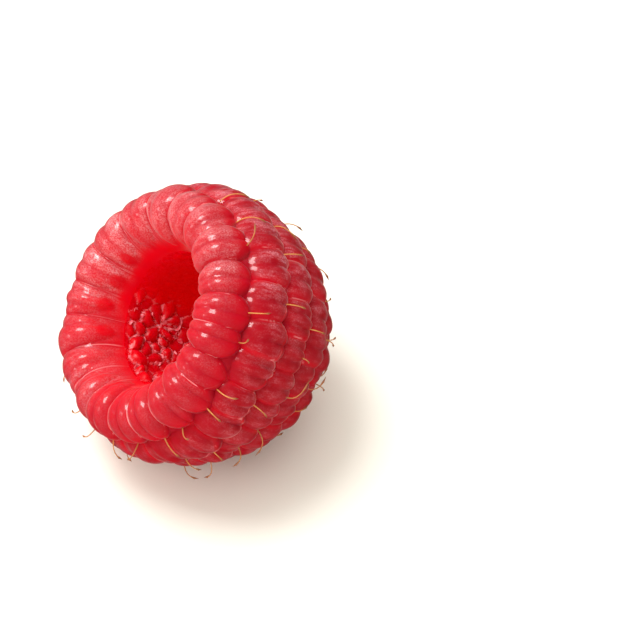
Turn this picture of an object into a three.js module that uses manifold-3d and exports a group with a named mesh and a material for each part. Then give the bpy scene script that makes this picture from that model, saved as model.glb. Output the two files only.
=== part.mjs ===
// A ripe raspberry as picked: rows of drupelets grown together round the hollow that the
// receptacle leaves behind. The fruit lies on its side with its mouth tilted up.
// Millimetres, +Z up, origin on the resting plane under the middle of the fruit.
//
// The fruit is built in a frame of its own and laid down at the end: +Z runs out of the mouth
// along the axis, the rim's crest is at height 0, and the tip is at -FRUIT_LENGTH. Azimuth 0 is
// the meridian that ends up underneath. A place on the skin is an azimuth and a distance along
// the meridian, measured from the crest: below 0 into the mouth, above 0 towards the tip.

import * as THREE from "three";
import { mergeVertices } from "three/addons/utils/BufferGeometryUtils.js";
import Module from "manifold-3d";

const rad = THREE.MathUtils.degToRad;

// ---- The fruit ----
const FRUIT_RADIUS = 11.6; // at the widest circle
const FRUIT_LENGTH = 17.9; // from the rim's crest to the tip
const WAIST_DEPTH = 5.4; // from the crest down to the widest circle
const RIM_RADIUS = 8.3; // of the circle that runs along the rim's crest
const MOUTH_RADIUS = 5.6; // across the rim's inner side
const MOUTH_DEPTH = 3.5; // from the crest down to that side
const HOLLOW_DEPTH = 13.2; // from the crest down to the bottom of the hollow
const HOLLOW_TOP = 4.0; // from the crest down to where the rim's drupelets end in its wall
const HOLLOW_RADIUS = 5.55; // of the hollow there

// ---- The way it lies ----
const MOUTH_ELEVATION = 41.8; // degrees from the horizon up to the axis
const MOUTH_HEADING = 199.0; // degrees from +X round to +Y, of the axis seen from above
const REST_CUT = 0.55; // how far the drupelets underneath are pressed flat

// ---- Drupelets ----
// One row for each ring round the axis, from the rim to the tip: where its middle lies along the
// skin, how many drupelets it has, the azimuth of the first, and half a drupelet's length.
const ROWS = [
  { along: -1.1, count: 20, azimuth: 3, halfLength: 5.9 },
  { along: 6.3, count: 21, azimuth: 0, halfLength: 2.6 },
  { along: 9.5, count: 20, azimuth: 8, halfLength: 2.45 },
  { along: 12.8, count: 18, azimuth: 0, halfLength: 2.45 },
  { along: 16.0, count: 15, azimuth: 13, halfLength: 2.4 },
  { along: 19.1, count: 11, azimuth: 6, halfLength: 2.4 },
  { along: 22.0, count: 7, azimuth: -11, halfLength: 2.3 },
  { along: 24.4, count: 3, azimuth: 40, halfLength: 1.9 },
];
const CROWDING = 0.2; // how much narrower than the average drupelets are on the crowded side
const CROWDED_AZIMUTH = 105; // degrees, the middle of that side
// A drupelet's half width as a share of the spacing in its row, its depth above and below the
// middle, how far its tip end stands out over the next row while the other end sinks as much, how
// strongly it tapers, and how far it strays along the skin.
const RIM_SHAPE = { width: 0.7, crown: 1.7, root: 0.3, lean: 0, taper: 1, rings: 9, shift: 0.15 };
const FLANK_SHAPE = { width: 0.7, crown: 1.8, root: 1.6, lean: 0.4, taper: 0.5, rings: 4, shift: 0.3 };
const SIDES = 10;
const GATHER = 0.5; // how much closer together the sides are on the crown
const NARROWEST = 0.3; // least share of its middle width that a drupelet tapers to
const END_POWER = 2.5; // above 2 the ends of a drupelet are blunter than an ellipse's
const FURROW_DEPTH = 0.13; // as a share of the drupelet's own radius
const FURROW_DEEPENS = 0.6; // by this share at the tip end, and shallower by it at the other
const FURROW_SPREAD = rad(13); // round the drupelet, over which a furrow fades
const SIDE_FURROW = rad(20); // from the crown to a furrow that lies off the middle

// Each differs from its row's even size and place by up to this share, of its pitch for azimuth,
// and stands out of the skin or is sunk in it by up to this many millimetres.
const SPREAD = { azimuth: 0.12, length: 0.04, width: 0.06, crown: 0.08, rise: 0.12 };
// How many in a hundred have their furrow down the middle, on one side, and on the other.
const FURROW_ODDS = { middle: 60, before: 15, after: 15 };

// ---- Flesh that joins the drupelets ----
const RIM_INSET = 0.9; // in from the skin at the rim
const FLESH_INSET = 1.5; // in from the skin at the tip
const INSET_STEP = 0.05; // gained on each millimetre from the crest towards the tip
const MOUTH_STEP = 0.17; // lost on each millimetre from the crest into the mouth
const FLESH_ENDS = [-4.5, 24]; // along the skin, from inside the rim to near the tip
const FLESH_STEP = 1.5;
const FLESH_SIDES = 24;
const HOLLOW_STEPS = 7;

const SKIN = { color: 0xb8142c, roughness: 0.42, metalness: 0 };

// A number from 0 to 1 that depends only on a drupelet's number and on what it is drawn for.
const DRAWN_FOR = { furrows: 1, shift: 2, azimuth: 3, length: 4, width: 5, crown: 6, rise: 7 };

function draw(index, purpose) {
  const x = Math.sin(index * 12.9898 + DRAWN_FOR[purpose] * 78.233) * 43758.5453;
  return x - Math.floor(x);
}

const within = (index, purpose, spread) => spread * (2 * draw(index, purpose) - 1);

// A quarter of an ellipse, or less, drawn clockwise: its centre, half widths and two angles.
function arc(x, y, reachX, reachY, from, to) {
  return new THREE.EllipseCurve(x, y, reachX, reachY, from, to, true);
}

// The skin's meridian, from the wall of the hollow over the rim and down to the tip. It gives the
// radius and height of a place along it and the direction straight out of the skin there.
function makeMeridian() {
  const wall = new THREE.LineCurve(
    new THREE.Vector2(MOUTH_RADIUS, -HOLLOW_DEPTH),
    new THREE.Vector2(MOUTH_RADIUS, -MOUTH_DEPTH),
  );
  const inwardReach = RIM_RADIUS - MOUTH_RADIUS;
  const outwardReach = FRUIT_RADIUS - RIM_RADIUS;
  const domeReach = FRUIT_LENGTH - WAIST_DEPTH;
  const [inward, up, outward, down] = [Math.PI, Math.PI / 2, 0, -Math.PI / 2];
  const lip = arc(RIM_RADIUS, -MOUTH_DEPTH, inwardReach, MOUTH_DEPTH, inward, up);
  const shoulder = arc(RIM_RADIUS, -WAIST_DEPTH, outwardReach, WAIST_DEPTH, up, outward);
  const dome = arc(0, -WAIST_DEPTH, FRUIT_RADIUS, domeReach, outward, down);
  const path = new THREE.CurvePath();
  [wall, lip, shoulder, dome].forEach((stretch) => path.add(stretch));
  const crestAt = wall.getLength() + lip.getLength();
  const length = path.getLength();
  return (along) => {
    const share = THREE.MathUtils.clamp((crestAt + along) / length, 0, 1);
    const point = path.getPointAt(share);
    const tangent = path.getTangentAt(share);
    return { radius: point.x, height: point.y, outRadial: -tangent.y, outAxial: tangent.x };
  };
}

const meridian = makeMeridian();

// A furrow along the middle or off it, or one on each side, parts a drupelet into lobes.
function furrowsOf(index) {
  const { middle, before, after } = FURROW_ODDS;
  const kind = 100 * draw(index, "furrows");
  if (kind < middle) return [0];
  if (kind < middle + before) return [-SIDE_FURROW];
  if (kind < middle + before + after) return [SIDE_FURROW];
  return [-SIDE_FURROW, SIDE_FURROW];
}

// One drupelet: a ball with its poles along the meridian, stretched into a blunt pillow, parted
// into lobes, and bent along the skin so that its crown touches it all the way.
function makeDrupelet(index, { along, azimuth, halfLength, halfWidth, crown, rise, shape }) {
  const geometry = new THREE.SphereGeometry(1, SIDES, shape.rings);
  const position = geometry.getAttribute("position");
  const furrows = furrowsOf(index);
  const middleRadius = meridian(along).radius;
  for (let i = 0; i < position.count; i++) {
    const [x, y, z] = [position.getX(i), position.getY(i), position.getZ(i)];
    const lengthwise = 1 - (2 * Math.acos(y)) / Math.PI;
    const girth = (1 - Math.abs(lengthwise) ** END_POWER) ** (1 / END_POWER);
    const evenTurn = Math.atan2(x, z);
    const turn = evenTurn * (1 - GATHER * Math.cos(evenTurn / 2) ** 2);
    const dents = furrows.map((furrow) => Math.exp(-Math.abs(turn - furrow) / FURROW_SPREAD));
    const depth = FURROW_DEPTH * (1 - FURROW_DEEPENS * lengthwise);
    const reach = girth * (1 - depth * dents.reduce((sum, dent) => sum + dent, 0));
    const skin = meridian(along - halfLength * lengthwise);
    const narrowing = Math.max(skin.radius / middleRadius, NARROWEST) ** shape.taper;
    const sideways = halfWidth * narrowing * reach * Math.sin(turn);
    const level = Math.cos(turn) > 0 ? crown : shape.root;
    const outward = level * reach * Math.cos(turn) - crown + rise - shape.lean * lengthwise;
    const radius = skin.radius + outward * skin.outRadial;
    position.setXYZ(
      i,
      radius * Math.cos(azimuth) - sideways * Math.sin(azimuth),
      radius * Math.sin(azimuth) + sideways * Math.cos(azimuth),
      skin.height + outward * skin.outAxial,
    );
  }
  return geometry;
}

// All of them, row by row, each a little off its even place and size.
function makeDrupelets() {
  const drupelets = [];
  ROWS.forEach((row, rowNumber) => {
    const shape = rowNumber === 0 ? RIM_SHAPE : FLANK_SHAPE;
    const pitch = (2 * Math.PI) / row.count;
    for (let k = 0; k < row.count; k++) {
      const index = drupelets.length + 1;
      const differ = (purpose) => within(index, purpose, SPREAD[purpose]);
      const even = rad(row.azimuth) + pitch * (k + differ("azimuth"));
      const fromCrowd = even - rad(CROWDED_AZIMUTH);
      const spacing = meridian(row.along).radius * pitch * (1 - CROWDING * Math.cos(fromCrowd));
      drupelets.push(
        makeDrupelet(index, {
          along: row.along + within(index, "shift", shape.shift),
          azimuth: even - CROWDING * Math.sin(fromCrowd),
          halfLength: row.halfLength * (1 + differ("length")),
          halfWidth: shape.width * spacing * (1 + differ("width")),
          crown: shape.crown * (1 + differ("crown")),
          rise: differ("rise"),
          shape,
        }),
      );
    }
  });
  return drupelets;
}

// The flesh under them: the meridian set in from the skin, with the hollow let into its top.
function makeFlesh() {
  const outside = [];
  const [from, to] = FLESH_ENDS;
  for (let along = from; along < to; along += FLESH_STEP) {
    const skin = meridian(along);
    const step = along > 0 ? INSET_STEP : MOUTH_STEP;
    const inset = Math.min(RIM_INSET + step * along, FLESH_INSET);
    const radius = skin.radius - inset * skin.outRadial;
    outside.push(new THREE.Vector2(radius, skin.height - inset * skin.outAxial));
  }
  outside.push(new THREE.Vector2(0, FLESH_INSET - FRUIT_LENGTH));
  const hollowReach = HOLLOW_DEPTH - HOLLOW_TOP;
  const wall = arc(0, -HOLLOW_TOP, HOLLOW_RADIUS, hollowReach, 0, -Math.PI / 2);
  const hollow = wall.getPoints(HOLLOW_STEPS);
  hollow[HOLLOW_STEPS].x = 0; // exactly on the axis
  const profile = [...outside.reverse(), ...hollow];
  return new THREE.LatheGeometry(profile, FLESH_SIDES).rotateX(Math.PI / 2);
}

// ---- Joining and cutting ----
const WELD = 1e-4; // points closer than this are one

const wasm = await Module();
wasm.setup();

function solidOf(geometry) {
  const bare = geometry.clone();
  bare.deleteAttribute("normal");
  bare.deleteAttribute("uv");
  const merged = mergeVertices(bare, WELD);
  return new wasm.Manifold(
    new wasm.Mesh({
      numProp: 3,
      vertProperties: merged.getAttribute("position").array,
      triVerts: new Uint32Array(merged.index.array),
    }),
  );
}

function geometryOf(solid) {
  const { vertProperties, triVerts } = solid.getMesh();
  return new THREE.BufferGeometry()
    .setAttribute("position", new THREE.BufferAttribute(vertProperties, 3))
    .setIndex(new THREE.BufferAttribute(triVerts, 1));
}

// A union's largest body. Pockets sealed between drupelets are bodies of their own, so leaving
// them out fills them.
function largestBody(solid) {
  return solid.decompose().reduce((best, body) => (body.volume() > best.volume() ? body : best));
}

// Turned the way it lies, set down REST_CUT into the ground, cut flat there, and centred.
function layDown(fruit) {
  const turn = new THREE.Euler(0, rad(90 - MOUTH_ELEVATION), rad(MOUTH_HEADING), "ZYX");
  const turned = fruit.transform(new THREE.Matrix4().makeRotationFromEuler(turn).elements);
  const { min, max } = turned.boundingBox();
  const placed = turned.translate([
    -(min[0] + max[0]) / 2,
    -(min[1] + max[1]) / 2,
    -(min[2] + REST_CUT),
  ]);
  const side = 4 * FRUIT_RADIUS; // well beyond the fruit
  const ground = new THREE.BoxGeometry(side, side, side).translate(0, 0, -side / 2);
  return placed.subtract(solidOf(ground));
}

const drupelets = makeDrupelets().map(solidOf);
const fruit = largestBody(wasm.Manifold.union([solidOf(makeFlesh()), ...drupelets]));
const raspberry = new THREE.Mesh(
  geometryOf(layDown(fruit)),
  new THREE.MeshStandardMaterial(SKIN),
);
raspberry.name = "raspberry";

const group = new THREE.Group();
group.add(raspberry);
export default group;
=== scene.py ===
"""A ripe raspberry that lies on its side, dressed over its solid.

Shapes are worked out in millimetres in the fruit's own frame, where +Z runs out of the mouth along
the axis, the rim's crest is at height 0, and azimuth 0 is the meridian that ends up underneath. A
place on the skin is an azimuth and a distance along the meridian, measured from the crest: below 0
into the mouth, above 0 towards the tip.
"""

import math

import bpy
import numpy as np
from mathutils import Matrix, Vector


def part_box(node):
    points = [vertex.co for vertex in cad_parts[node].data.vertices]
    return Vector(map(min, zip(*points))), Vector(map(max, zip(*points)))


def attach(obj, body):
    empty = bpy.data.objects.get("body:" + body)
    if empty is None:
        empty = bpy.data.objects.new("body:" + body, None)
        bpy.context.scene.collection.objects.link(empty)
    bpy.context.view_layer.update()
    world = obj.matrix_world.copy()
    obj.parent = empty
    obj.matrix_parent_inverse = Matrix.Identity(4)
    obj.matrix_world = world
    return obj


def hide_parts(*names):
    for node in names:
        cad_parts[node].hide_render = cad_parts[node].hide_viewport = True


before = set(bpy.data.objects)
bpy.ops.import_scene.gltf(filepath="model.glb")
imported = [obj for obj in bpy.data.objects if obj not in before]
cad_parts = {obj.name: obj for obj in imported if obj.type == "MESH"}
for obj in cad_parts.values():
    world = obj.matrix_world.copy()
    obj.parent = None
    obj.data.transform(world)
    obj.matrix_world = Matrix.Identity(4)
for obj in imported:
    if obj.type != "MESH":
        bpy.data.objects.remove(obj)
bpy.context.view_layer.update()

MM = 0.001

# ---- The fruit ----
FRUIT_RADIUS = 11.6
FRUIT_LENGTH = 17.9
WAIST_DEPTH = 5.4
RIM_RADIUS = 8.3
MOUTH_RADIUS = 5.6
MOUTH_DEPTH = 3.5
HOLLOW_DEPTH = 13.2
HOLLOW_TOP = 4.0
HOLLOW_RADIUS = 5.55

# ---- The way it lies: azimuth 0 underneath, 70 in front, 180 on top and 250 at the back ----
MOUTH_ELEVATION = 41.8
MOUTH_HEADING = 199.0
REST_CUT = 0.55
BACKMOST = math.radians(250)

# ---- Drupelets: for each row the place along the skin, how many, first azimuth, half length ----
ROWS = (
    (-1.1, 20, 3, 5.9),
    (6.3, 21, 0, 2.6),
    (9.5, 20, 8, 2.45),
    (12.8, 18, 0, 2.45),
    (16.0, 15, 13, 2.4),
    (19.1, 11, 6, 2.4),
    (22.0, 7, -11, 2.3),
    (24.4, 3, 40, 1.9),
)
CROWDING = 0.2
CROWDED_AZIMUTH = math.radians(105)
RIM_SHAPE = {
    "width": 0.7,
    "crown": 1.7,
    "root": 0.3,
    "lean": 0.0,
    "taper": 1.0,
    "shift": 0.15,
    "furrow": 0.14,
    "power": 2.5,
}
FLANK_SHAPE = {
    "width": 0.7,
    "crown": 1.8,
    "root": 1.6,
    "lean": 0.4,
    "taper": 0.5,
    "shift": 0.3,
    "furrow": 0.19,
    "power": 2.1,
}
GATHER = 0.3
NARROWEST = 0.3
FURROW_DEEPENS = 0.6
FURROW_SPREAD = math.radians(13)
FURROW_BOTTOM = math.radians(4)
SIDE_FURROW = math.radians(20)
SPREAD = {"azimuth": 0.12, "length": 0.04, "width": 0.06, "crown": 0.08, "rise": 0.12}
FURROW_ODDS = (0.60, 0.75, 0.90)
DRAWN_FOR = {"furrows": 1, "shift": 2, "azimuth": 3, "length": 4, "width": 5, "crown": 6, "rise": 7}

# ---- Flesh ----
RIM_INSET = 0.9
FLESH_INSET = 1.5
INSET_STEP = 0.05
MOUTH_STEP = 0.17
FLESH_ENDS = (-4.5, 22.5)

# ---- Cells on the hollow's wall, where the core's knobs came away ----
CELL_SEED = 11
HEIGHT_SEED = 3
CELL_PITCH = 0.08
CELL_SIZE = 1.05
CELL_STRAY = 0.4
CELL_PITCH_STRAY = 0.055
CELL_RELIEF = 0.62
CELL_HEIGHT = (0.15, 1.4)
CELL_SLOPE = 1.1
WALL_ROUGHNESS = 0.55
WALL_SMOOTHED = 0.43
WALL_FROM = -4.9

# ---- Bare ovals on the inner ends of the rim's drupelets ----
OVAL_MIDDLE = -3.7
OVAL_SHIFT = 0.35
OVAL_HALF_LENGTH = 1.0
OVAL_HALF_WIDTH = 0.62
OVAL_FAR = 2.0

# ---- Dried styles: how far the free end is above the skin, the length along it, the bend ----
STYLE_SEED = 5
STYLE_RADIUS = 0.05
STYLE_SIDES = 6
STYLE_ODDS = 0.85
STYLE_START = 0.85
STYLE_SUNK = -1.1
STYLE_TURN = 0.03
STANDING_ODDS = 0.3
STANDING = {"end": (0.35, 0.85), "length": (0.1, 0.7), "bend": 1.1}
LYING = {"end": (-0.1, 0.35), "length": (1.5, 2.4), "bend": 0.6}
STALK = (0.0, 1.0, 1.0, 0.95, 0.9, 0.85, 0.8, 1.7, 0.0)
STALK_BROWN = (0.0, 0.0, 0.0, 0.0, 0.1, 0.3, 1.0)
STANDING_BROWN = 0.55
CLEARANCE = 0.3

# ---- Flaps of torn skin in the hollow ----
FLAP_SEED = 9
FLAP_SIDES = 8
FLAP_RINGS = 9
FLAP_ODDS = 0.55
FLAP_SHARES = (0.02, 0.4)
FLAP_HALF_LENGTH = (0.18, 0.42)
FLAP_HALF_HEIGHT = (0.12, 0.24)
FLAP_HALF_THICKNESS = 0.06
FLAP_LIFT = 0.22
FLAP_LEAN = 0.6
FLAP_CURL = 0.4
FLAP_BEND = 0.15
FLAP_RAGGED = 0.25
FLAP_WAVES = 5.0
NEIGHBOURS = 1.6

# ---- How finely each surface is drawn ----
QUARTER_SAMPLES = 400
WALL_SAMPLES = 50
RIM_RINGS = 51
FLANK_RINGS = 25
DRUPELET_SIDES = 40
FLESH_SIDES = 260
FLESH_RINGS = 40
HOLLOW_RINGS = 110
SHARP_FROM = math.radians(38)
SEARCHED = 4
BATCH = 8000

# ---- Stretches round the fruit: middle azimuth, reach and soft edge, in degrees ----
SMOOTH_WALL = (250.0, 40.0, 30.0)
ROUGH_WALL = (345.0, 32.0, 30.0)
TORN_WALL = (345.0, 35.0, 25.0)
FLAP_WALL = (345.0, 40.0, 1.0)
OVALS = (303.0, 32.0, 12.0)
DOWN_RUNS_IN = (330.0, 50.0, 25.0)
DOWN_RUNS_DEEPER = (350.0, 25.0, 25.0)
# Where the painted sheen line runs on both sides of a rim drupelet
SHEEN_ON_BOTH_SIDES = (50.0, 50.0, 20.0)
CLOTHED_BACK = (235.0, 50.0, 30.0)
# Where the bloom is painted thinner and darker as shade
SHADED_RIM = (85.0, 42.0, 50.0)
SHADED_RIM_TOP = (165.0, 30.0, 25.0)
SHADED_FLANK = (95.0, 35.0, 55.0)
SHADED_UNDERSIDE = (0.0, 30.0, 30.0)

# ---- Where a shade comes in, from and to, in mm: DEEP is down the axis from the crest, TIP is
# along the skin towards the tip, and the others are along it into the mouth ----
# Over this depth the hollow is painted darker as shade
DEEP = (3.4, 8.0)
RIM = (-5.2, -3.0)
LIP = (-0.5, 2.5)
INSIDE = (2.7, 5.1)
TORN = (4.6, 6.4)
TIP = (8.5, 15.0)

# ---- Where on a drupelet a shade comes in, from and to, in its half sizes ----
OUTER_END = (0.52, 0.88)
ROOT_END = (0.35, 0.8)
FRONT_SIDE = (0.3, 0.75)
BACK_SIDE = (-0.1, 0.3)
TIP_SIDE = (0.0, 0.5)
TIP_END = (0.3, 0.8)
CREASE_WIDTH = 1.2
EDGE_REACH = 0.065
EDGE_REACH_AT_TIP = 0.09

# ---- Colours ----
# Painted glow: the creases are painted a brighter red than the skin beside them, as light through
# the skin
CREASE_GLOW_RED = (0.54, 0.001, 0.013, 1.0)
FLANK_CREASE_GLOW_RED = (0.56, 0.001, 0.012, 1.0)
# Painted glow of light through the skin, on the rim's outer ends and the flank's front sides
GLOW_RED = (0.60, 0.001, 0.014, 1.0)
RIM_RED = (0.46, 0.002, 0.014, 1.0)
# Painted glow: brighter red towards the lip, as light through the thin wall
LIP_GLOW_RED = (0.60, 0.002, 0.015, 1.0)
FLANK_RED = (0.40, 0.001, 0.010, 1.0)
HOLLOW_RED = (0.81, 0.0, 0.010, 1.0)
# The hollow's darker patches, and its painted shade deeper down
HOLLOW_PATCH_AND_SHADE_RED = (0.67, 0.0, 0.001, 1.0)
OVAL_RED = (0.68, 0.0, 0.010, 1.0)
RIM_BLOOM = (0.69, 0.30, 0.32, 1.0)
# Painted shade: the bloom darker where shade falls
SHADED_BLOOM = (0.54, 0.20, 0.22, 1.0)
FLANK_BLOOM = (0.62, 0.20, 0.24, 1.0)
# Painted sheen: a pale line along the edges that turn under
SHEEN_LINE_PINK = (0.84, 0.36, 0.38, 1.0)
CELL_RED = (0.56, 0.001, 0.008, 1.0)
TORN_PINK = (0.88, 0.26, 0.30, 1.0)
TORN_RED = (0.66, 0.05, 0.08, 1.0)
STYLE_GOLD = (0.62, 0.24, 0.05, 1.0)
STYLE_STRAW = (0.75, 0.36, 0.10, 1.0)
STYLE_BROWN = (0.34, 0.12, 0.04, 1.0)
FLOOR_WHITE = (0.93, 0.94, 0.87, 1.0)
WORLD_WHITE = (1.0, 0.95, 0.88, 1.0)

# ---- Finish: light goes a millimetre into the flesh, and only red comes back from that deep ----
FLESH_DEPTH = {
    "Subsurface Weight": 0.6,
    "Subsurface Radius": (1.0, 0.12, 0.08),
    "Subsurface Scale": 0.0012,
}
SKIN_FINISH = {
    "Specular IOR Level": 0.2,
    "Coat Weight": 0.7,
    "Coat Roughness": 0.08,
    "Sheen Weight": 0.7,
    "Sheen Roughness": 0.2,
    "Sheen Tint": (1.0, 0.62, 0.60, 1.0),
}
HOLLOW_FINISH = {"Specular IOR Level": 0.3}
FLOOR_FINISH = {"Base Color": FLOOR_WHITE, "Roughness": 0.6, "Specular IOR Level": 0.1}
BUMP_STRENGTH = 0.16
BUMP_HEIGHT = 0.00005

# ---- Grain of the materials, in waves to a metre, and of the fibres, to a millimetre ----
PATCHES = 700.0
SPECKLE = 8500.0
HOLLOW_PATCHES = 900.0
WISPS = 2600.0
STREAKS = 3000.0
STYLE_GRAIN = 4000.0
FIBRES_ACROSS = 3.0
FIBRES_ALONG = 0.7

# ---- Camera, light and floor: each lamp's place and side in metres and its power in watts ----
CAMERA_ELEVATION = 50.0
CAMERA_DISTANCE = 166.8
FOCAL_LENGTH = 120.0
SENSOR_WIDTH = 36.0
AIM = (9.644, 0.377, 11.855)
LIT_POINT = (0.0, 0.0, 0.01)
LAMPS = (
    ("key", (-0.20, 0.08, 0.62), 0.25, 2.4),
    ("fill", (-0.50, -0.10, 0.25), 0.12, 0.2),
)
LEFT_STRENGTH = 1.5
RIGHT_STRENGTH = 0.30
DIMMING = (-0.1, 0.8)
FLOOR_REACH = 1.0
FLOOR_SQUARES = 8
FLOOR_DROP = 0.00002


# ---- Seeded differences and soft steps ----
def draw(index, purpose):
    """A number from 0 to 1: the fraction of a large sine of the drupelet's number and purpose."""
    wave = np.sin(index * 12.9898 + DRAWN_FOR[purpose] * 78.233) * 43758.5453
    return wave - np.floor(wave)


def within(index, purpose, spread):
    return spread * (2.0 * draw(index, purpose) - 1.0)


def smooth_step(value, low, high):
    """0 below low, 1 above high, and 3t^2 - 2t^3 between."""
    t = np.clip((value - low) / (high - low), 0.0, 1.0)
    return t * t * (3.0 - 2.0 * t)


def round_to(azimuth, stretch):
    """1 within the stretch's reach of its middle azimuth, falling to 0 over its soft edge."""
    middle, reach, soft = stretch
    away = np.abs((np.degrees(azimuth) - middle + 180.0) % 360.0 - 180.0)
    return 1.0 - smooth_step(away, reach, reach + soft)


# ---- The skin's meridian ----
def curve(radius, height):
    return np.stack(np.broadcast_arrays(radius, height), axis=1)


def make_meridian():
    """Line down the hollow's wall, then quarter ellipses over the lip, shoulder and dome.

    Returns the distance along it from the crest, and the radius and height there.
    """
    quarter = np.linspace(0.0, math.pi / 2, QUARTER_SAMPLES)
    lip_reach = RIM_RADIUS - MOUTH_RADIUS
    shoulder_reach = FRUIT_RADIUS - RIM_RADIUS
    dome_reach = FRUIT_LENGTH - WAIST_DEPTH
    wall = curve(MOUTH_RADIUS, np.linspace(-HOLLOW_DEPTH, -MOUTH_DEPTH, WALL_SAMPLES))
    lip = curve(RIM_RADIUS - lip_reach * np.cos(quarter), MOUTH_DEPTH * (np.sin(quarter) - 1.0))
    shoulder = curve(
        RIM_RADIUS + shoulder_reach * np.sin(quarter), WAIST_DEPTH * (np.cos(quarter) - 1.0)
    )
    dome = curve(FRUIT_RADIUS * np.cos(quarter), -WAIST_DEPTH - dome_reach * np.sin(quarter))
    points = np.concatenate([wall, lip[1:], shoulder[1:], dome[1:]])
    steps = np.hypot(*np.diff(points, axis=0).T)
    along = np.concatenate([[0.0], np.cumsum(steps)])
    crest = along[len(wall) + len(lip) - 2]
    return along - crest, points[:, 0], points[:, 1]


MERIDIAN = make_meridian()


def on_skin(along):
    """Radius and height of places along the meridian, and the way straight out of the skin."""
    distances, radii, heights = MERIDIAN
    along = np.clip(along, distances[0], distances[-1])
    radius = np.interp(along, distances, radii)
    height = np.interp(along, distances, heights)
    middles = 0.5 * (distances[1:] + distances[:-1])
    run = np.interp(along, middles, np.diff(radii) / np.diff(distances))
    rise = np.interp(along, middles, np.diff(heights) / np.diff(distances))
    size = np.hypot(run, rise)
    return radius, height, -rise / size, run / size


# ---- Drupelets ----
def drupelet_table():
    """One column for each drupelet: its place, its half sizes and the shape of its row."""
    columns = []
    for number, (along, count, azimuth, half_length) in enumerate(ROWS):
        shape = RIM_SHAPE if number == 0 else FLANK_SHAPE
        pitch = 2.0 * math.pi / count
        first = sum(row[1] for row in ROWS[:number])
        index = first + 1 + np.arange(count)
        even = math.radians(azimuth) + pitch * (
            np.arange(count) + within(index, "azimuth", SPREAD["azimuth"])
        )
        from_crowd = even - CROWDED_AZIMUTH
        spacing = on_skin(along)[0] * pitch * (1.0 - CROWDING * np.cos(from_crowd))
        size = {key: 1.0 + within(index, key, SPREAD[key]) for key in ("length", "width", "crown")}
        column = {
            "index": index,
            "row": np.full(count, number),
            "along": along + within(index, "shift", shape["shift"]),
            "azimuth": even - CROWDING * np.sin(from_crowd),
            "half_length": half_length * size["length"],
            "half_width": shape["width"] * spacing * size["width"],
            "crown": shape["crown"] * size["crown"],
            "rise": within(index, "rise", SPREAD["rise"]),
        }
        for key in ("root", "lean", "taper", "furrow", "power"):
            column[key] = np.full(count, shape[key])
        columns.append(column)
    return {key: np.concatenate([column[key] for column in columns]) for key in columns[0]}


DRUPELETS = drupelet_table()


def furrow_dents(index, turn):
    """Sum over a drupelet's furrows of exp(-|turn - furrow| / spread), rounded at its bottom."""
    kind = draw(index, "furrows")
    middle, before, after = FURROW_ODDS
    has_middle = kind < middle
    has_before = ((kind >= middle) & (kind < before)) | (kind >= after)
    has_after = kind >= before
    dents = np.zeros(np.broadcast(index, turn).shape)
    for has, place in ((has_middle, 0.0), (has_before, -SIDE_FURROW), (has_after, SIDE_FURROW)):
        away = np.hypot(turn - place, FURROW_BOTTOM) - FURROW_BOTTOM
        dents = dents + has * np.exp(-away / FURROW_SPREAD)
    return dents


def drupelet_points(chosen, rings):
    """A ball with its poles along the meridian, made into a blunt pillow and bent along the skin.

    Girth is (1 - |lengthwise|^p)^(1/p). Sideways is half width times girth times sin(turn), and
    outward is the crown's or the root's height times girth times cos(turn), less the crown. The
    sides gather towards the crown. Furrows take their share off the girth, more towards the tip.
    """
    column = {key: values[chosen][:, None, None] for key, values in DRUPELETS.items()}
    lengthwise = np.cos(np.linspace(0.0, math.pi, rings))[None, :, None]
    even_turn = np.linspace(-math.pi, math.pi, DRUPELET_SIDES, endpoint=False)[None, None, :]
    turn = even_turn * (1.0 - GATHER * np.cos(even_turn / 2.0) ** 2)
    power = column["power"]
    girth = np.clip(1.0 - np.abs(lengthwise) ** power, 0.0, 1.0) ** (1.0 / power)
    furrow = column["furrow"] * (1.0 - FURROW_DEEPENS * lengthwise)
    reach = girth * (1.0 - furrow * furrow_dents(column["index"], turn))
    middle_radius = on_skin(column["along"])[0]
    radius, height, out_radial, out_axial = on_skin(
        column["along"] - column["half_length"] * lengthwise
    )
    narrowing = np.maximum(radius / middle_radius, NARROWEST) ** column["taper"]
    sideways = column["half_width"] * narrowing * reach * np.sin(turn)
    level = np.where(np.cos(turn) > 0.0, column["crown"], column["root"])
    sunk = column["crown"] - column["rise"] + column["lean"] * lengthwise
    outward = level * reach * np.cos(turn) - sunk
    across = radius + outward * out_radial
    x = across * np.cos(column["azimuth"]) - sideways * np.sin(column["azimuth"])
    y = across * np.sin(column["azimuth"]) + sideways * np.cos(column["azimuth"])
    z = height + outward * out_axial
    return np.stack(np.broadcast_arrays(x, y, z), axis=-1)


# ---- Flesh and hollow ----
WALL_MIDDLE = np.array([0.0, 0.0, -HOLLOW_TOP])
WALL_REACH = np.array([HOLLOW_RADIUS, HOLLOW_RADIUS, HOLLOW_DEPTH - HOLLOW_TOP])


def wall_points(share, azimuth):
    """The hollow's wall, a half ellipsoid: share 0 at its top, 1 at its bottom."""
    angle = share * math.pi / 2.0
    radius = HOLLOW_RADIUS * np.cos(angle)
    height = -HOLLOW_TOP - (HOLLOW_DEPTH - HOLLOW_TOP) * np.sin(angle)
    return np.stack(
        np.broadcast_arrays(radius * np.cos(azimuth), radius * np.sin(azimuth), height), axis=-1
    )


def wall_inward(places):
    """Unit vectors into the hollow, down the slope of the wall's ellipsoid equation."""
    slope = -(places - WALL_MIDDLE) / WALL_REACH**2
    return slope / np.linalg.norm(slope, axis=-1, keepdims=True)


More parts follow.
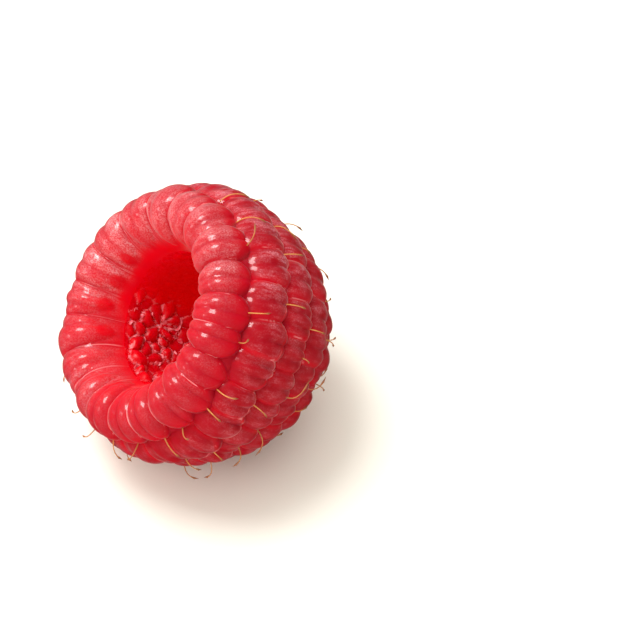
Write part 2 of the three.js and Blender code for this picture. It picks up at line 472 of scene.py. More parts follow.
def cell_centres():
    """Middles of the cells on the hollow's wall: rings of them, each well astray."""
    stray = np.random.default_rng(CELL_SEED)
    centres = []
    for share in np.arange(0.02, 1.0, CELL_PITCH):
        around = HOLLOW_RADIUS * math.cos(share * math.pi / 2.0) * 2.0 * math.pi
        count = max(int(around / CELL_SIZE), 1)
        places = np.arange(count) + stray.random() + stray.uniform(-CELL_STRAY, CELL_STRAY, count)
        azimuth = places * 2.0 * math.pi / count
        shares = share + stray.uniform(-CELL_PITCH_STRAY, CELL_PITCH_STRAY, count)
        centres.append(wall_points(shares, azimuth))
    return np.concatenate(centres)


CELLS = cell_centres()
CELL_HEIGHTS = np.random.default_rng(HEIGHT_SEED).uniform(*CELL_HEIGHT, len(CELLS))


def nearest_cell(share, azimuth):
    """Each place's nearest cell, and its border: how much nearer it is than the second nearest."""
    gaps = np.linalg.norm(wall_points(share, azimuth)[..., None, :] - CELLS, axis=-1)
    cell = gaps.argmin(axis=-1)
    gaps.partition(1, axis=-1)
    return cell, gaps[..., 1] - gaps[..., 0]


def raggedness(azimuth):
    """How rough the hollow's wall is: most on its low side, least at the back."""
    least = round_to(azimuth, SMOOTH_WALL)
    most = round_to(azimuth, ROUGH_WALL)
    return np.maximum(WALL_ROUGHNESS - WALL_SMOOTHED * least, most)


def wall_relief(share, azimuth):
    """Height above the plain wall: a dome in each cell, some tall and some low.

    A dome is a quarter circle over the cell's border. It fades at the wall's top and bottom.
    """
    cell, border = nearest_cell(share, azimuth)
    rise = np.clip(border / CELL_SLOPE, 0.0, 1.0)
    dome = CELL_RELIEF * CELL_HEIGHTS[cell] * np.sqrt(rise * (2.0 - rise))
    ends = smooth_step(share, 0.0, 0.04) * smooth_step(1.0 - share, 0.0, 0.1)
    return dome * ends * raggedness(azimuth)


def flesh_points():
    """The meridian set in from the skin, then the hollow's wall with its relief."""
    along = np.linspace(FLESH_ENDS[1], FLESH_ENDS[0], FLESH_RINGS)[:, None]
    azimuth = np.linspace(2.0 * math.pi, 0.0, FLESH_SIDES, endpoint=False)[None, :]
    radius, height, out_radial, out_axial = on_skin(along)
    step = np.where(along > 0.0, INSET_STEP, MOUTH_STEP)
    inset = np.minimum(RIM_INSET + step * along, FLESH_INSET)
    across = radius - inset * out_radial
    level = height - inset * out_axial + 0.0 * azimuth
    outside = np.stack([across * np.cos(azimuth), across * np.sin(azimuth), level], axis=-1)
    tip = np.broadcast_to(np.array([0.0, 0.0, FLESH_INSET - FRUIT_LENGTH]), (1, FLESH_SIDES, 3))
    share = np.linspace(0.0, 1.0, HOLLOW_RINGS)[:, None]
    wall = wall_points(share, azimuth)
    relief = wall_relief(share, azimuth)
    return np.concatenate([tip, outside, wall + relief[..., None] * wall_inward(wall)])


# ---- Meshes ----
def ring_faces(rings, sides):
    """Faces of a closed grid whose first and last rings are single points."""
    inner = 1 + np.arange((rings - 2) * sides).reshape(rings - 2, sides)
    beside = np.roll(inner, -1, axis=1)
    quads = np.stack([inner[:-1], inner[1:], beside[1:], beside[:-1]], axis=-1).reshape(-1, 4)
    first = np.stack([np.zeros(sides, int), inner[0], beside[0]], axis=-1)
    last = np.stack([np.full(sides, inner[-1, -1] + 1), beside[-1], inner[-1]], axis=-1)
    return quads.tolist() + first.tolist() + last.tolist()


def new_object(name, places, faces):
    mesh = bpy.data.meshes.new(name)
    mesh.from_pydata(places.tolist(), [], faces)
    piece = bpy.data.objects.new(name, mesh)
    bpy.context.scene.collection.objects.link(piece)
    return piece


def closed_object(name, points):
    """An object from a grid of points with a pole at each end."""
    inner = points[1:-1].reshape(-1, 3)
    places = np.concatenate([points[0, :1], inner, points[-1, :1]])
    return new_object(name, places, ring_faces(*points.shape[:2]))


def joined_object(name, grids, shift):
    """One object of many closed grids, laid down with the fruit."""
    count, rings, sides = grids.shape[:3]
    inner = grids[:, 1:-1].reshape(count, -1, 3)
    places = np.concatenate([grids[:, 0, :1], inner, grids[:, -1, :1]], axis=1)
    each = places.shape[1]
    pattern = ring_faces(rings, sides)
    starts = range(0, count * each, each)
    faces = [[corner + start for corner in face] for start in starts for face in pattern]
    piece = new_object(name, (lie_down(places.reshape(-1, 3)) + shift) * MM, faces)
    piece.data.shade_smooth()
    return piece


def union_of(body, parts):
    """The body's mesh with the parts fused into it. The parts are used up."""
    together = bpy.data.collections.new("fused")
    bpy.context.scene.collection.children.link(together)
    for part in parts:
        bpy.context.scene.collection.objects.unlink(part)
        together.objects.link(part)
    fuse = body.modifiers.new("fuse", "BOOLEAN")
    fuse.operation = "UNION"
    fuse.solver = "MANIFOLD"
    fuse.operand_type = "COLLECTION"
    fuse.collection = together
    evaluated = body.evaluated_get(bpy.context.evaluated_depsgraph_get())
    mesh = bpy.data.meshes.new_from_object(evaluated)
    body.modifiers.clear()
    used = [body.data, *(part.data for part in parts)]
    body.data = mesh
    for part in parts:
        bpy.data.objects.remove(part)
    bpy.data.collections.remove(together)
    for old in used:
        bpy.data.meshes.remove(old)
    return body


def vertex_places(mesh):
    places = np.empty(len(mesh.vertices) * 3)
    mesh.vertices.foreach_get("co", places)
    return places.reshape(-1, 3)


def store(mesh, name, values):
    layer = mesh.attributes.new(name, "FLOAT", "POINT")
    layer.data.foreach_set("value", np.broadcast_to(values, len(layer.data)).astype(np.float32))


def lie_down(places):
    """Turns points the way the fruit lies: tilted about Y, then turned about Z."""
    tilt = math.radians(90.0 - MOUTH_ELEVATION)
    heading = math.radians(MOUTH_HEADING)
    tipped = np.array(
        [
            [math.cos(tilt), 0.0, math.sin(tilt)],
            [0.0, 1.0, 0.0],
            [-math.sin(tilt), 0.0, math.cos(tilt)],
        ]
    )
    headed = np.array(
        [
            [math.cos(heading), -math.sin(heading), 0.0],
            [math.sin(heading), math.cos(heading), 0.0],
            [0.0, 0.0, 1.0],
        ]
    )
    return places @ (headed @ tipped).T


# ---- Where each vertex of the fruit lies ----
def nearest_along(places):
    """Distance along the meridian of the place on it that is nearest to each point."""
    distances, radii, heights = (values[::SEARCHED] for values in MERIDIAN)
    across = np.hypot(places[:, 0], places[:, 1])
    along = np.empty(len(places))
    for start in range(0, len(places), BATCH):
        part = slice(start, start + BATCH)
        gaps = np.hypot(across[part, None] - radii, places[part, 2][:, None] - heights)
        along[part] = distances[gaps.argmin(axis=1)]
    return along


def nearest_drupelet(azimuth, along):
    """Number of the drupelet each place belongs to, where on it that is, and how far from others.

    Sideways and endways are the ways from its middle over its half width and half length, and the
    distance is their hypotenuse. The margin is the second smallest distance less the smallest.
    """
    radius = np.maximum(on_skin(along)[0], 1.0)
    chosen = np.empty(len(along), int)
    margin, sideways, endways = np.empty((3, len(along)))
    for start in range(0, len(along), BATCH):
        part = slice(start, start + BATCH)
        turn = azimuth[part, None] - DRUPELETS["azimuth"]
        turn = np.arctan2(np.sin(turn), np.cos(turn))
        side = turn * radius[part, None] / DRUPELETS["half_width"]
        end = (along[part, None] - DRUPELETS["along"]) / DRUPELETS["half_length"]
        distance = np.hypot(side, end)
        best = distance.argmin(axis=1)
        chosen[part] = best
        sideways[part] = side[np.arange(len(best)), best]
        endways[part] = end[np.arange(len(best)), best]
        distance.partition(1, axis=1)
        margin[part] = distance[:, 1] - distance[:, 0]
    return chosen, margin, sideways, endways


# ---- Shades of the fruit, one value for each vertex ----
def furrow_shade(chosen, sideways, endways):
    """How deep in a furrow each place lies, from the turn round its drupelet."""
    power = DRUPELETS["power"][chosen]
    girth = np.clip(1.0 - np.abs(endways) ** power, 0.05, 1.0) ** (1.0 / power)
    turn = np.arcsin(np.clip(sideways / girth, -1.0, 1.0))
    return np.clip(furrow_dents(chosen + 1, turn), 0.0, 1.0)


def backwards(chosen, sideways):
    """How far to the back side of its drupelet each place lies, in half widths.

    It is the way sideways times the sine of the drupelet's azimuth from the backmost one.
    """
    return -sideways * np.sin(DRUPELETS["azimuth"][chosen] - BACKMOST)


def sheen_sides(chosen, sideways, endways):
    """1 on the sides of a drupelet that get a painted sheen: a pale line on the edge, and a thicker
    bloom.

    They are the back side on the rim, and both sides along its front, and on the flank the sides
    that face the tip and the back.
    """
    back = backwards(chosen, sideways)
    both = np.abs(sideways) * round_to(DRUPELETS["azimuth"][chosen], SHEEN_ON_BOTH_SIDES)
    return np.where(
        DRUPELETS["row"][chosen] == 0,
        smooth_step(np.maximum(back, both), *BACK_SIDE),
        smooth_step(endways + back, *TIP_SIDE),
    )


def brightness(chosen, sideways, endways):
    """1 where light comes through the skin: the rim's outer ends and the flank's front sides."""
    return np.where(
        DRUPELETS["row"][chosen] == 0,
        smooth_step(endways, *OUTER_END),
        0.8 * smooth_step(-backwards(chosen, sideways), *FRONT_SIDE),
    )


def bareness_and_glow(chosen, glow, endways):
    """1 where the down is left off: worn off at the flank's roots, and gone where the skin is
    painted glowing, on the rim's outer ends and the flank's front sides.
    """
    return np.where(
        DRUPELETS["row"][chosen] == 0,
        smooth_step(endways, *OUTER_END),
        np.maximum(smooth_step(-endways, *ROOT_END), glow),
    )


def oval_measure(azimuth, along):
    """Distance from the bare oval on the inner end of a rim drupelet, in half sizes of the oval.

    It is the hypotenuse of the way sideways and the way along, each over its half size, and
    OVAL_FAR on the side of the mouth that has none.
    """
    rim = DRUPELETS["row"] == 0
    radius = on_skin(along)[0]
    turn = azimuth[:, None] - DRUPELETS["azimuth"][rim]
    turn = np.arctan2(np.sin(turn), np.cos(turn))
    best = np.abs(turn).argmin(axis=1)
    side = turn[np.arange(len(best)), best] * radius / OVAL_HALF_WIDTH
    end = (along - OVAL_MIDDLE - within(best + 1.0, "shift", OVAL_SHIFT)) / OVAL_HALF_LENGTH
    shown = round_to(azimuth, OVALS)
    return np.clip(np.hypot(side, end) + OVAL_FAR * (1.0 - shown), 0.0, OVAL_FAR)


def bloom_shading(azimuth, on_flank, tipwards):
    """How far the bloom is painted thinner and darker as shade: in front, underneath and towards
    the tip.
    """
    front = np.where(
        on_flank,
        0.75 * round_to(azimuth, SHADED_FLANK),
        np.maximum(round_to(azimuth, SHADED_RIM), 0.3 * round_to(azimuth, SHADED_RIM_TOP)),
    )
    underneath = 0.6 * round_to(azimuth, SHADED_UNDERSIDE)
    return np.maximum(np.maximum(front, underneath), 0.9 * tipwards)


def store_shades(mesh, places, along):
    """Works out and stores what the materials read."""
    azimuth = np.arctan2(places[:, 1], places[:, 0])
    chosen, margin, sideways, endways = nearest_drupelet(azimuth, along)
    on_flank = DRUPELETS["row"][chosen] > 0
    angle = np.arcsin(np.clip(-(places[:, 2] + HOLLOW_TOP) / WALL_REACH[2], 0.0, 1.0))
    border = nearest_cell(angle / (math.pi / 2.0), azimuth)[1]
    glow = brightness(chosen, sideways, endways)
    kept_down = 0.7 * (round_to(azimuth, CLOTHED_BACK) * on_flank)
    tipwards = smooth_step(along, *TIP)
    turned = sheen_sides(chosen, sideways, endways)
    further_in = 0.6 * round_to(azimuth, DOWN_RUNS_IN) + 0.5 * round_to(azimuth, DOWN_RUNS_DEEPER)
    shades = {
        "crown": np.clip(margin / CREASE_WIDTH, 0.0, 1.0),
        "furrow": furrow_shade(chosen, sideways, endways),
        "glow": glow,
        # Down left off where it is worn off, and where the skin is painted glowing
        "bare_and_glow": bareness_and_glow(chosen, glow, endways) * (1.0 - kept_down),
        # Sides where a pale sheen line is painted and the bloom painted thicker
        "turned": turned,
        "sheen_edge": turned * (1.0 - 0.75 * tipwards),
        "edge_reach": EDGE_REACH + EDGE_REACH_AT_TIP * on_flank * smooth_step(endways, *TIP_END),
        # How much the bloom is painted thinner and darker as shade
        "painted_shade": bloom_shading(azimuth, on_flank, tipwards),
        "inside": smooth_step(-along - further_in, *INSIDE),
        # How far down the hollow is painted darker as shade
        "deep_shade": smooth_step(-places[:, 2], *DEEP),
        "rim": smooth_step(-along, *RIM),
        # Towards the lip, where the rim is painted a glowing brighter red
        "lip": smooth_step(-along, *LIP),
        "torn": round_to(azimuth, TORN_WALL) * smooth_step(-along, *TORN),
        "oval": oval_measure(azimuth, along),
        "border": np.clip(border, 0.0, 1.0),
        "aside": sideways * DRUPELETS["half_width"][chosen] + 10.0 * chosen,
        "lengthwise": along,
    }
    for name, values in shades.items():
        store(mesh, name, values)


# ---- The fruit ----
def fused_fruit():
    """Drupelets fused with the flesh, in the fruit's own frame."""
    rim = DRUPELETS["row"] == 0
    grids = [*drupelet_points(rim, RIM_RINGS), *drupelet_points(~rim, FLANK_RINGS)]
    drupelets = [
        closed_object(f"drupelet.{number}", points) for number, points in enumerate(grids)
    ]
    return union_of(closed_object("berry", flesh_points()), drupelets)


def lay_on_floor(mesh, places):
    """Lays the fruit down over the middle of its solid, and presses it flat where it rests.

    Returns the shift, in millimetres, that puts it there once it is turned.
    """
    laid = lie_down(places)
    low, high = (np.array(corner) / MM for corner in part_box("raspberry"))
    middle = 0.5 * (laid.min(axis=0) + laid.max(axis=0))
    shift = np.array([*(0.5 * (low + high) - middle)[:2], -laid[:, 2].min() - REST_CUT])
    placed = laid + shift
    placed[:, 2] = np.maximum(placed[:, 2], 0.0)
    mesh.vertices.foreach_set("co", (placed * MM).ravel())
    mesh.update()
    return shift


def give_materials(mesh, along):
    """The hollow's material for the faces wholly inside WALL_FROM, and the skin's for the rest."""
    corners = np.empty(len(mesh.loops), int)
    mesh.loops.foreach_get("vertex_index", corners)
    starts = np.empty(len(mesh.polygons), int)
    mesh.polygons.foreach_get("loop_start", starts)
    in_hollow = np.maximum.reduceat(along[corners], starts) < WALL_FROM
    mesh.materials.clear()
    mesh.materials.append(skin_material())
    mesh.materials.append(hollow_material())
    mesh.polygons.foreach_set("material_index", in_hollow.astype(int))


def make_fruit():
    """The finished fruit, and the shift that lays its other pieces down with it."""
    fruit = fused_fruit()
    mesh = fruit.data
    places = vertex_places(mesh)
    along = nearest_along(places)
    store_shades(mesh, places, along)
    shift = lay_on_floor(mesh, places)
    mesh.shade_smooth()
    mesh.set_sharp_from_angle(angle=SHARP_FROM)
    give_materials(mesh, along)
    return fruit, shift


# ---- Dried styles and torn skin ----
def tube_rings(path, outward, half_thick, half_wide, sides):
    """Rings round paths: thick along the way out of the skin, wide across it and the path.

    path and outward are (tubes, rings, 3); the half sizes are (tubes or 1, rings).
    """
    forward = np.gradient(path, axis=1)
    forward /= np.linalg.norm(forward, axis=-1, keepdims=True)
    thick = outward - (outward * forward).sum(axis=-1, keepdims=True) * forward
    thick /= np.linalg.norm(thick, axis=-1, keepdims=True)
    wide = np.cross(thick, forward)
    turn = np.linspace(0.0, 2.0 * math.pi, sides, endpoint=False)[None, None, :, None]
    return (
        path[:, :, None, :]
        + half_thick[:, :, None, None] * np.cos(turn) * thick[:, :, None, :]
        + half_wide[:, :, None, None] * np.sin(turn) * wide[:, :, None, :]
    )


def gaps_between():
    """Azimuth of each gap between neighbours in the flank rows, and where along it starts."""
    azimuths = []
    starts = []
    for number in range(1, len(ROWS)):
        row = np.sort(DRUPELETS["azimuth"][DRUPELETS["row"] == number])
        following = np.append(row[1:], row[0] + 2.0 * math.pi)
        azimuths.append(0.5 * (row + following))
        starts.append(np.full(len(row), ROWS[number][0] - ROWS[number][3] * STYLE_START))
    return np.concatenate(azimuths), np.concatenate(starts)


def style_paths():
    """Paths that rise out of a crease, run towards the tip and bend aside. Some stand up.

    With s from 0 to 1: above the skin = sunk + (end - sunk) sin(s pi/2), along = start + length
    s^1.2, and sideways = bend s^3. Also the way out of the skin along them, and which stand.
    """
    random = np.random.default_rng(STYLE_SEED)
    azimuth, start = gaps_between()
    kept = random.random(len(azimuth)) < STYLE_ODDS
    azimuth, start = azimuth[kept, None], start[kept, None]
    each = (len(azimuth), 1)
    stands = random.random(each) < STANDING_ODDS
    end, length = (
        np.where(stands, random.uniform(*STANDING[key], each), random.uniform(*LYING[key], each))
        for key in ("end", "length")
    )
    bend = random.normal(0.0, np.where(stands, STANDING["bend"], LYING["bend"]), each)
    s = np.linspace(0.0, 1.0, len(STALK))[None, :]
    above = STYLE_SUNK + (end - STYLE_SUNK) * np.sin(s * math.pi / 2.0)
    along = start + length * s**1.2
    radius, height, out_radial, out_axial = on_skin(along)
    middle = azimuth + random.normal(0.0, STYLE_TURN, each)
    turned = middle + bend * s**3 / np.maximum(radius, 2.0)
    across = radius + above * out_radial
    path = np.stack(
        [across * np.cos(turned), across * np.sin(turned), height + above * out_axial], axis=-1
    )
    outward = np.stack(
        [out_radial * np.cos(turned), out_radial * np.sin(turned), out_axial + 0.0 * turned],
        axis=-1,
    )
    return path, outward, stands


def make_styles(shift):
    """Thin stalks that taper a little and end in a small knob. Those near the floor are left out.

    The knob is browner than the stalk, and a stalk that stands is browner than one that lies.
    """
    path, outward, stands = style_paths()
    lowest = (lie_down(path) + shift)[..., 2].min(axis=1)
    path, outward, stands = (values[lowest > CLEARANCE] for values in (path, outward, stands))
    half = STYLE_RADIUS * np.broadcast_to(STALK, path.shape[:2])
    styles = joined_object("styles", tube_rings(path, outward, half, half, STYLE_SIDES), shift)
    rings = np.repeat(STALK_BROWN, STYLE_SIDES)
    brown = np.maximum(np.concatenate([[0.0], rings, [1.0]]), STANDING_BROWN * stands)
    store(styles.data, "brown", brown.ravel())
    return styles


def torn_creases(random):
    """Places in the creases between the cells on the wall's low side.

    They are the middles between neighbouring cells, put on the wall. Also the way from the one
    cell's middle to the other's.
    """
    first, second = np.triu_indices(len(CELLS), 1)
    across = CELLS[second] - CELLS[first]
    on_unit = (0.5 * (CELLS[first] + CELLS[second]) - WALL_MIDDLE) / WALL_REACH
    on_unit /= np.linalg.norm(on_unit, axis=1, keepdims=True)
    azimuth = np.arctan2(on_unit[:, 1], on_unit[:, 0])
    share = np.arcsin(np.clip(-on_unit[:, 2], 0.0, 1.0)) * 2.0 / math.pi
    kept = (
        (np.linalg.norm(across, axis=1) < NEIGHBOURS)
        & (round_to(azimuth, FLAP_WALL) > 0.5)
        & (share > FLAP_SHARES[0])
        & (share < FLAP_SHARES[1])
        & (random.random(len(share)) < FLAP_ODDS)
    )
    return azimuth[kept], share[kept], across[kept]


def make_torn_skin(shift):
    """Small soft flaps of skin that stand in the creases, each a flattened bent tube.

    A flap's path runs along its crease. Its half height is height * sqrt(1 - u^2) with u from -1
    to 1, made ragged by a sine of u, and it leans over by lean + curl * u.
    """
    random = np.random.default_rng(FLAP_SEED)
    azimuth, share, across = torn_creases(random)
    count = len(azimuth)
    foot = wall_points(share, azimuth)
    inward = wall_inward(foot)
    foot = foot + FLAP_LIFT * inward
    forward = np.cross(across, inward)
    forward /= np.linalg.norm(forward, axis=-1, keepdims=True)
    aside = np.cross(inward, forward)
    half_length = random.uniform(*FLAP_HALF_LENGTH, (count, 1, 1))
    half_height = random.uniform(*FLAP_HALF_HEIGHT, (count, 1))
    lean = random.normal(0.0, FLAP_LEAN, (count, 1, 1))
    curl = random.normal(0.0, FLAP_CURL, (count, 1, 1))
    u = np.linspace(-1.0, 1.0, FLAP_RINGS)[None, :]
    bend = random.normal(0.0, FLAP_BEND, (count, 1, 1)) * u[..., None] ** 2
    path = (
        foot[:, None, :]
        + half_length * u[..., None] * forward[:, None, :]
        + bend * aside[:, None, :]
    )
    upward = inward[:, None, :] + (lean + curl * u[..., None]) * aside[:, None, :]
    ragged = 1.0 + FLAP_RAGGED * np.sin(FLAP_WAVES * u + 9.0 * random.random((count, 1)))
    round_end = np.sqrt(np.clip(1.0 - u**2, 0.0, 1.0))
    tall = half_height * round_end * ragged
    thin = FLAP_HALF_THICKNESS * round_end + 0.0 * tall
    return joined_object("torn_skin", tube_rings(path, upward, tall, thin, FLAP_SIDES), shift)


# ---- Material nodes ----
def add(tree, kind, settings=None, inputs=None):
    """Adds a node, sets its properties, and sets or links its inputs by name or number."""
    node = tree.nodes.new(kind)
    for name, value in (settings or {}).items():
        setattr(node, name, value)
    for name, value in (inputs or {}).items():
        if isinstance(value, bpy.types.NodeSocket):
            tree.links.new(value, node.inputs[name])
        else:
            node.inputs[name].default_value = value
    return node


def attribute(tree, name):
    return add(tree, "ShaderNodeAttribute", {"attribute_name": name}).outputs["Fac"]


def calculated(tree, operation, *values):
    node = add(tree, "ShaderNodeMath", {"operation": operation}, dict(enumerate(values)))
    return node.outputs[0]


def times(tree, first, *others):
    """The product of all the values."""
    product = first
    for value in others:
        product = calculated(tree, "MULTIPLY", product, value)
    return product


def mixed(tree, factor, first, second):
    node = add(tree, "ShaderNodeMix", {"data_type": "RGBA"}, {0: factor, 6: first, 7: second})
    return node.outputs[2]


def ranged(tree, value, low, high, to_low=0.0, to_high=1.0):
    """A smooth step from to_low, where the value is low, to to_high, where it is high."""
    node = add(
        tree,
        "ShaderNodeMapRange",
        {"interpolation_type": "SMOOTHSTEP"},
        {0: value, 1: low, 2: high, 3: to_low, 4: to_high},
    )
    return node.outputs[0]


def noise(tree, place, scale, detail=2.0, roughness=0.5):
    node = add(
        tree,
        "ShaderNodeTexNoise",
        None,
        {"Vector": place, "Scale": scale, "Detail": detail, "Roughness": roughness},
    )
    return node.outputs[0]


def fibre_place(tree):
    """Place on a drupelet, drawn out along it: three fibres to a millimetre, each 1.4 mm long."""
    aside = times(tree, attribute(tree, "aside"), FIBRES_ACROSS)
    lengthwise = times(tree, attribute(tree, "lengthwise"), FIBRES_ALONG)
    return add(tree, "ShaderNodeCombineXYZ", None, {0: aside, 1: lengthwise}).outputs[0]


def new_material(name, finish):
    """A material, its tree, its shader with the finish set on it, and the place on the piece."""
    material = bpy.data.materials.new(name)
    material.use_nodes = True
    tree = material.node_tree
    shader = tree.nodes["Principled BSDF"]
    for socket, value in finish.items():
        shader.inputs[socket].default_value = value
    place = add(tree, "ShaderNodeTexCoord").outputs["Object"]
    return material, tree, shader, place


# ---- Materials ----
def skin_material():
    """Deep red skin, painted glowing in its creases and lip, under a pale bloom of very fine down.

    The down is thin in the furrows and on bare ends, and gone in the creases. Where shade falls its
    bloom is painted thinner and darker, and a fine pale line of painted sheen runs where a drupelet
    turns under. Its cover is the product of all that thins it.
    """
    material, tree, shader, place = new_material("raspberry skin", {**FLESH_DEPTH, **SKIN_FINISH})
    crown = attribute(tree, "crown")
    rim = attribute(tree, "rim")
    painted_shade = attribute(tree, "painted_shade")
    patches = noise(tree, place, PATCHES, 3.0, 0.6)
    speckle = noise(tree, place, SPECKLE, 3.0, 0.7)
    fibres = noise(tree, fibre_place(tree), 1.0, 3.0, 0.6)
    ragged = calculated(tree, "MULTIPLY_ADD", patches, 0.8, attribute(tree, "inside"))
    inside = ranged(tree, ragged, 0.35, 1.4)

    # Painted glow: the rim brighter red towards the lip
    lip_glowing = mixed(tree, attribute(tree, "lip"), RIM_RED, LIP_GLOW_RED)
    raised = mixed(tree, rim, FLANK_RED, lip_glowing)
    # Painted glow on the rim's outer ends and the flank's front sides
    full = mixed(tree, attribute(tree, "glow"), raised, GLOW_RED)
    # Painted glow: the creases are brighter red
    crease_glow = mixed(tree, rim, FLANK_CREASE_GLOW_RED, CREASE_GLOW_RED)
    skin = mixed(tree, ranged(tree, crown, 0.02, 0.24), crease_glow, full)

    # No bloom where the down is worn off, or where the skin is painted glowing
    clothed = times(
        tree,
        ranged(tree, inside, 0.0, 1.0, 1.0, 0.0),
        ranged(tree, attribute(tree, "bare_and_glow"), 0.0, 1.0, 1.0, 0.1),
    )
    thinnest = ranged(tree, rim, 0.0, 1.0, 0.15, 0.5)
    cover = times(
        tree,
        ranged(tree, crown, 0.02, 0.2),
        clothed,
        # Painted sheen: the bloom thicker on the sides that turn under
        ranged(tree, attribute(tree, "turned"), 0.0, 1.0, 0.65, 1.15),
        ranged(tree, patches, 0.34, 0.66, thinnest, 1.0),
        ranged(tree, fibres, 0.36, 0.62, thinnest, 1.0),
        ranged(tree, attribute(tree, "furrow"), 0.2, 1.0, 1.0, 0.6),
        # Painted shade: the bloom thinner where shade falls
        ranged(tree, painted_shade, 0.0, 1.0, 1.0, 0.24),
        ranged(tree, speckle, 0.38, 0.66, 0.2, 1.0),
        ranged(tree, rim, 0.0, 1.0, 2.1, 1.2),
    )
    # The bloom also darker where shade is painted
    bloom = mixed(tree, rim, FLANK_BLOOM, mixed(tree, painted_shade, RIM_BLOOM, SHADED_BLOOM))
    bloomed = mixed(tree, cover, skin, bloom)

    # Painted sheen: a fine pale line along the edges that turn under
    sheen_line = times(
        tree,
        ranged(tree, crown, 0.01, 0.03),
        ranged(tree, crown, 0.03, attribute(tree, "edge_reach"), 0.85, 0.0),
        ranged(tree, patches, 0.35, 0.6, 0.7, 1.0),
        attribute(tree, "sheen_edge"),
        clothed,
        ranged(tree, rim, 0.0, 1.0, 0.9, 1.0),
    )
    sheen_lined = mixed(tree, sheen_line, bloomed, SHEEN_LINE_PINK)
    inner = mixed(tree, inside, sheen_lined, HOLLOW_RED)
    oval = ranged(tree, attribute(tree, "oval"), 0.65, 1.2, 0.8, 0.0)
    tree.links.new(mixed(tree, oval, inner, OVAL_RED), shader.inputs["Base Color"])
    tree.links.new(ranged(tree, speckle, 0.3, 0.7, 0.28, 0.42), shader.inputs["Roughness"])
    bump = add(
        tree,
        "ShaderNodeBump",
        None,
        {"Strength": BUMP_STRENGTH, "Distance": BUMP_HEIGHT, "Height": speckle},
    )
    tree.links.new(bump.outputs[0], shader.inputs["Normal"])
    return material


def hollow_material():
    """Wet, saturated red with darker patches and painted shade deeper down, and pale torn skin in
    the creases between cells.
    """
    material, tree, shader, place = new_material(
        "raspberry hollow", {**FLESH_DEPTH, **HOLLOW_FINISH}
    )
    patches = noise(tree, place, HOLLOW_PATCHES, 3.0, 0.6)
    wisps = noise(tree, place, WISPS, 3.0, 0.7)
    torn = attribute(tree, "torn")
    # Darker in random patches, and painted darker deeper down as shade
    patches_and_shade = calculated(
        tree, "MULTIPLY_ADD", ranged(tree, patches, 0.3, 0.7), 0.3, attribute(tree, "deep_shade")
    )
    smooth = mixed(tree, patches_and_shade, HOLLOW_RED, HOLLOW_PATCH_AND_SHADE_RED)
    wall = mixed(tree, torn, smooth, CELL_RED)
    membrane = times(
        tree,
        ranged(tree, attribute(tree, "border"), 0.03, 0.2, 0.8, 0.0),
        torn,
        ranged(tree, wisps, 0.46, 0.58),
    )
    tree.links.new(mixed(tree, membrane, wall, TORN_PINK), shader.inputs["Base Color"])
    tree.links.new(ranged(tree, wisps, 0.3, 0.7, 0.18, 0.36), shader.inputs["Roughness"])
    return material


def torn_skin_material():
    """Thin, wet, pink membrane with red streaks."""
    material, tree, shader, place = new_material("torn skin", {})
    streaks = noise(tree, place, STREAKS, 2.0, 0.6)
    colour = mixed(tree, ranged(tree, streaks, 0.35, 0.65), TORN_PINK, TORN_RED)
    tree.links.new(colour, shader.inputs["Base Color"])
    tree.links.new(ranged(tree, streaks, 0.3, 0.7, 0.2, 0.35), shader.inputs["Roughness"])
    return material


def style_material():
    """Golden, dry and grainy, browner towards the knob at the free end."""
    material, tree, shader, place = new_material("dried style", {})
    grain = noise(tree, place, STYLE_GRAIN, 2.0, 0.6)
    golden = mixed(tree, ranged(tree, grain, 0.35, 0.65), STYLE_GOLD, STYLE_STRAW)
    browned = mixed(tree, attribute(tree, "brown"), golden, STYLE_BROWN)
    tree.links.new(browned, shader.inputs["Base Color"])
    tree.links.new(ranged(tree, grain, 0.3, 0.7, 0.4, 0.6), shader.inputs["Roughness"])
    return material


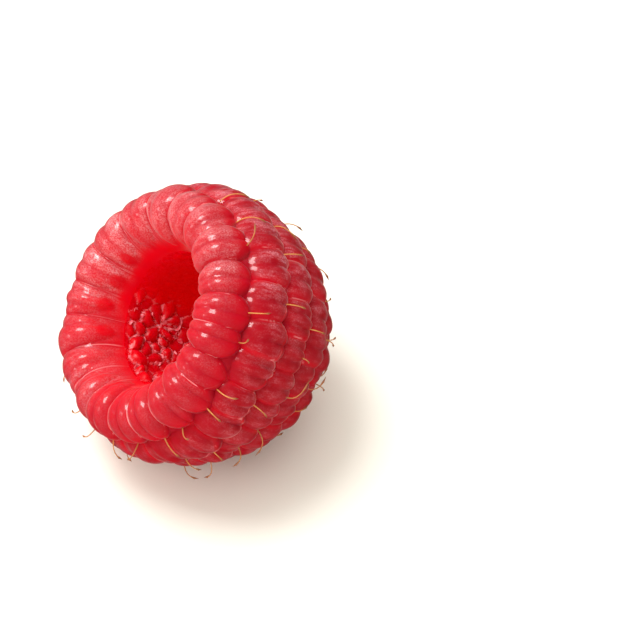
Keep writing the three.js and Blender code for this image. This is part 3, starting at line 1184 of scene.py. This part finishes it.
# ---- Camera, light and floor ----
def make_camera():
    tilt = math.radians(CAMERA_ELEVATION)
    data = bpy.data.cameras.new("camera")
    data.lens = FOCAL_LENGTH
    data.sensor_width = SENSOR_WIDTH
    data.clip_start = 0.01
    camera = bpy.data.objects.new("camera", data)
    away = Vector((0.0, -math.cos(tilt), math.sin(tilt))) * CAMERA_DISTANCE
    camera.location = (Vector(AIM) + away) * MM
    camera.rotation_euler = (math.pi / 2 - tilt, 0.0, 0.0)
    bpy.context.scene.collection.objects.link(camera)
    bpy.context.scene.camera = camera


def make_lamp(name, position, size, power):
    """A square soft light, turned to the middle of the fruit."""
    data = bpy.data.lights.new(name, "AREA")
    data.size = size
    data.energy = power
    lamp = bpy.data.objects.new(name, data)
    lamp.location = position
    towards = Vector(LIT_POINT) - Vector(position)
    lamp.rotation_euler = towards.to_track_quat("-Z", "Y").to_euler()
    bpy.context.scene.collection.objects.link(lamp)


def make_floor():
    """A level square just under the fruit, one metre out to each side, in eight by eight faces."""
    side = np.linspace(-FLOOR_REACH, FLOOR_REACH, FLOOR_SQUARES + 1)
    x, y = np.meshgrid(side, side, indexing="ij")
    places = np.stack([x, y, np.full_like(x, -FLOOR_DROP)], axis=-1).reshape(-1, 3)
    number = np.arange(x.size).reshape(x.shape)
    quads = np.stack([number[:-1, :-1], number[1:, :-1], number[1:, 1:], number[:-1, 1:]], -1)
    floor = new_object("floor", places, quads.reshape(-1, 4).tolist())
    floor.data.materials.append(new_material("white floor", FLOOR_FINISH)[0])
    floor.visible_glossy = False


def make_world():
    """Warm white all round, brighter on the left."""
    world = bpy.data.worlds.new("studio")
    world.use_nodes = True
    tree = world.node_tree
    direction = add(tree, "ShaderNodeTexCoord").outputs["Generated"]
    rightward = add(tree, "ShaderNodeSeparateXYZ", None, {0: direction}).outputs["X"]
    background = tree.nodes["Background"]
    background.inputs[0].default_value = WORLD_WHITE
    strength = ranged(tree, rightward, *DIMMING, LEFT_STRENGTH, RIGHT_STRENGTH)
    tree.links.new(strength, background.inputs[1])
    world.cycles_visibility.glossy = False
    bpy.context.scene.world = world
    bpy.context.scene.view_settings.view_transform = "Standard"


make_world()
make_floor()
make_camera()
for lamp in LAMPS:
    make_lamp(*lamp)

fruit, shift = make_fruit()
styles = make_styles(shift)
styles.data.materials.append(style_material())
torn_skin = make_torn_skin(shift)
torn_skin.data.materials.append(torn_skin_material())
for piece in (fruit, styles, torn_skin):
    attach(piece, "root")
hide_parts("raspberry")
